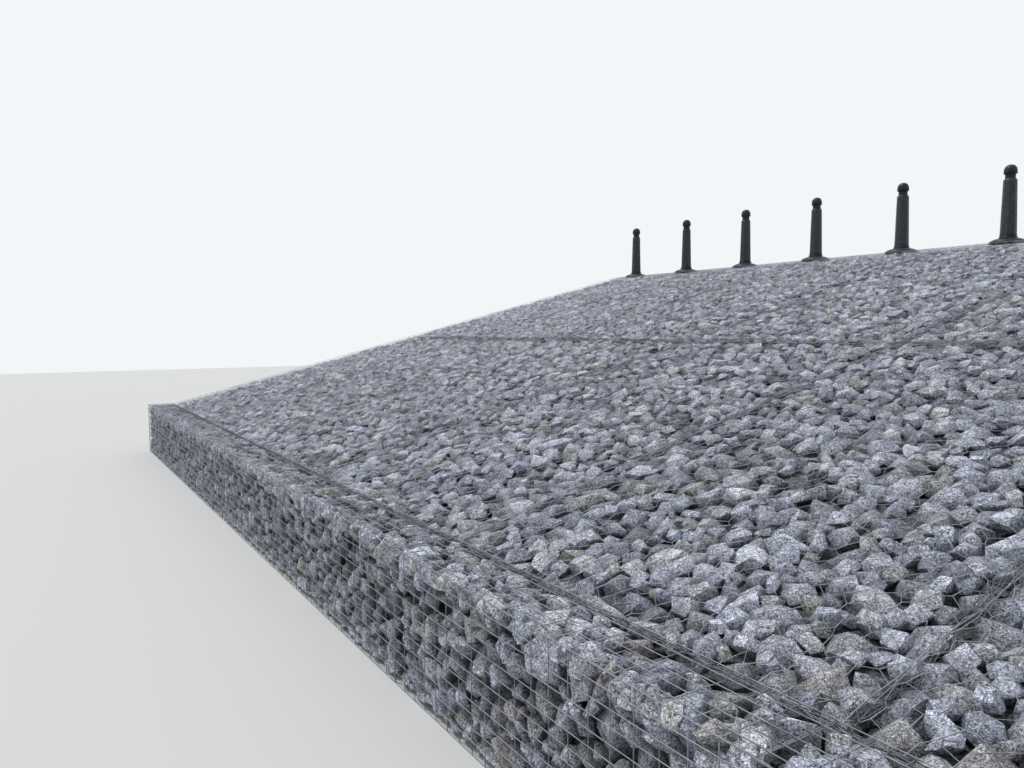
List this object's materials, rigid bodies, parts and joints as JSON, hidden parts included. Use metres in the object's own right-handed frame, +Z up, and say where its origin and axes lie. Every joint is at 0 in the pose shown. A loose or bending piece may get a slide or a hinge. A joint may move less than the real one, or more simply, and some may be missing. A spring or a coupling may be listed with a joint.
{
  "type": "gabion toe wall with a mattress-faced bank",
  "caption": "Low box-gabion toe wall below a sloping bank of stone-filled gabion mattresses, with a row of domed bollards along the crest.",
  "frame": {"origin": "middle of the footprint at pavement level", "axes": "+X along the wall, +Y into the bank away from the pavement, +Z up"},
  "size_m": [12, 8.472, 3.4318],
  "materials": {
    "stone": "rough",
    "galvanised_wire": "dull",
    "lacing_wire": "dull",
    "painted_iron": "satin"
  },
  "bodies": {
    "root": {"toe_gabion_1": "stone", "toe_basket_1": "galvanised_wire", "toe_gabion_2": "stone", "toe_basket_2": "galvanised_wire", "toe_gabion_3": "stone", "toe_basket_3": "galvanised_wire", "toe_gabion_4": "stone", "toe_basket_4": "galvanised_wire", "toe_gabion_5": "stone", "toe_basket_5": "galvanised_wire", "toe_gabion_6": "stone", "toe_basket_6": "galvanised_wire", "toe_end_panels": "galvanised_wire", "lower_mattress_1": "stone", "upper_mattress_1": "stone", "lower_mattress_2": "stone", "upper_mattress_2": "stone", "lower_mattress_3": "stone", "upper_mattress_3": "stone", "lower_mattress_4": "stone", "upper_mattress_4": "stone", "lower_mattress_5": "stone", "upper_mattress_5": "stone", "lower_mattress_6": "stone", "upper_mattress_6": "stone", "lower_backing_1": "stone", "upper_backing_1": "stone", "crest_gabion_1": "stone", "lower_backing_2": "stone", "upper_backing_2": "stone", "crest_gabion_2": "stone", "lower_backing_3": "stone", "upper_backing_3": "stone", "crest_gabion_3": "stone", "toe_lacing": "lacing_wire", "slope_lacing": "lacing_wire", "bollard_1": "painted_iron", "bollard_2": "painted_iron", "bollard_3": "painted_iron", "bollard_4": "painted_iron", "bollard_5": "painted_iron", "bollard_6": "painted_iron", "bollard_7": "painted_iron", "bollard_8": "painted_iron", "bollard_9": "painted_iron", "bollard_10": "painted_iron"}
  },
  "joints": []
}
